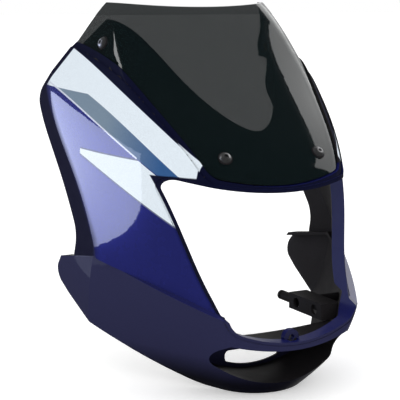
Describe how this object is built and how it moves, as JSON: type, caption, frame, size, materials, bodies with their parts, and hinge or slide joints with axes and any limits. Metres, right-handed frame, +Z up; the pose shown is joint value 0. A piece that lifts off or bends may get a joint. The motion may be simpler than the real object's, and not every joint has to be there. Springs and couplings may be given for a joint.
{
  "type": "headlight cowl",
  "caption": "motorbike headlight cowl: a moulded shell round an open lamp bay, with a bubble windscreen on a recessed shelf, side ears, wings, a chin intake and inner stays",
  "frame": {"origin": "centre of the lamp adjuster hole in the lug behind the chin bar", "axes": "+Z up, -Y to the front of the motorbike, X across it; the cowl is symmetric about X = 0"},
  "size_m": [0.2504, 0.2532, 0.3223],
  "materials": {
    "shell_paint": "blue metallic paint under clear coat, black inside",
    "screen_tint": "smoked clear plastic, polished",
    "screw_steel": "zinc plated",
    "washer_nylon": "moulded black",
    "nut_rubber": "moulded black",
    "insert_brass": "turned",
    "stay_plastic": "moulded black"
  },
  "bodies": {
    "root": {"cowl_shell": "shell_paint", "windscreen": "screen_tint", "screen_screws": "screw_steel", "screen_washers": "washer_nylon", "well_nuts": "nut_rubber", "well_nut_inserts": "insert_brass", "left_stay_arm": "stay_plastic", "right_stay_arm": "stay_plastic", "stay_screws": "screw_steel"}
  },
  "joints": []
}
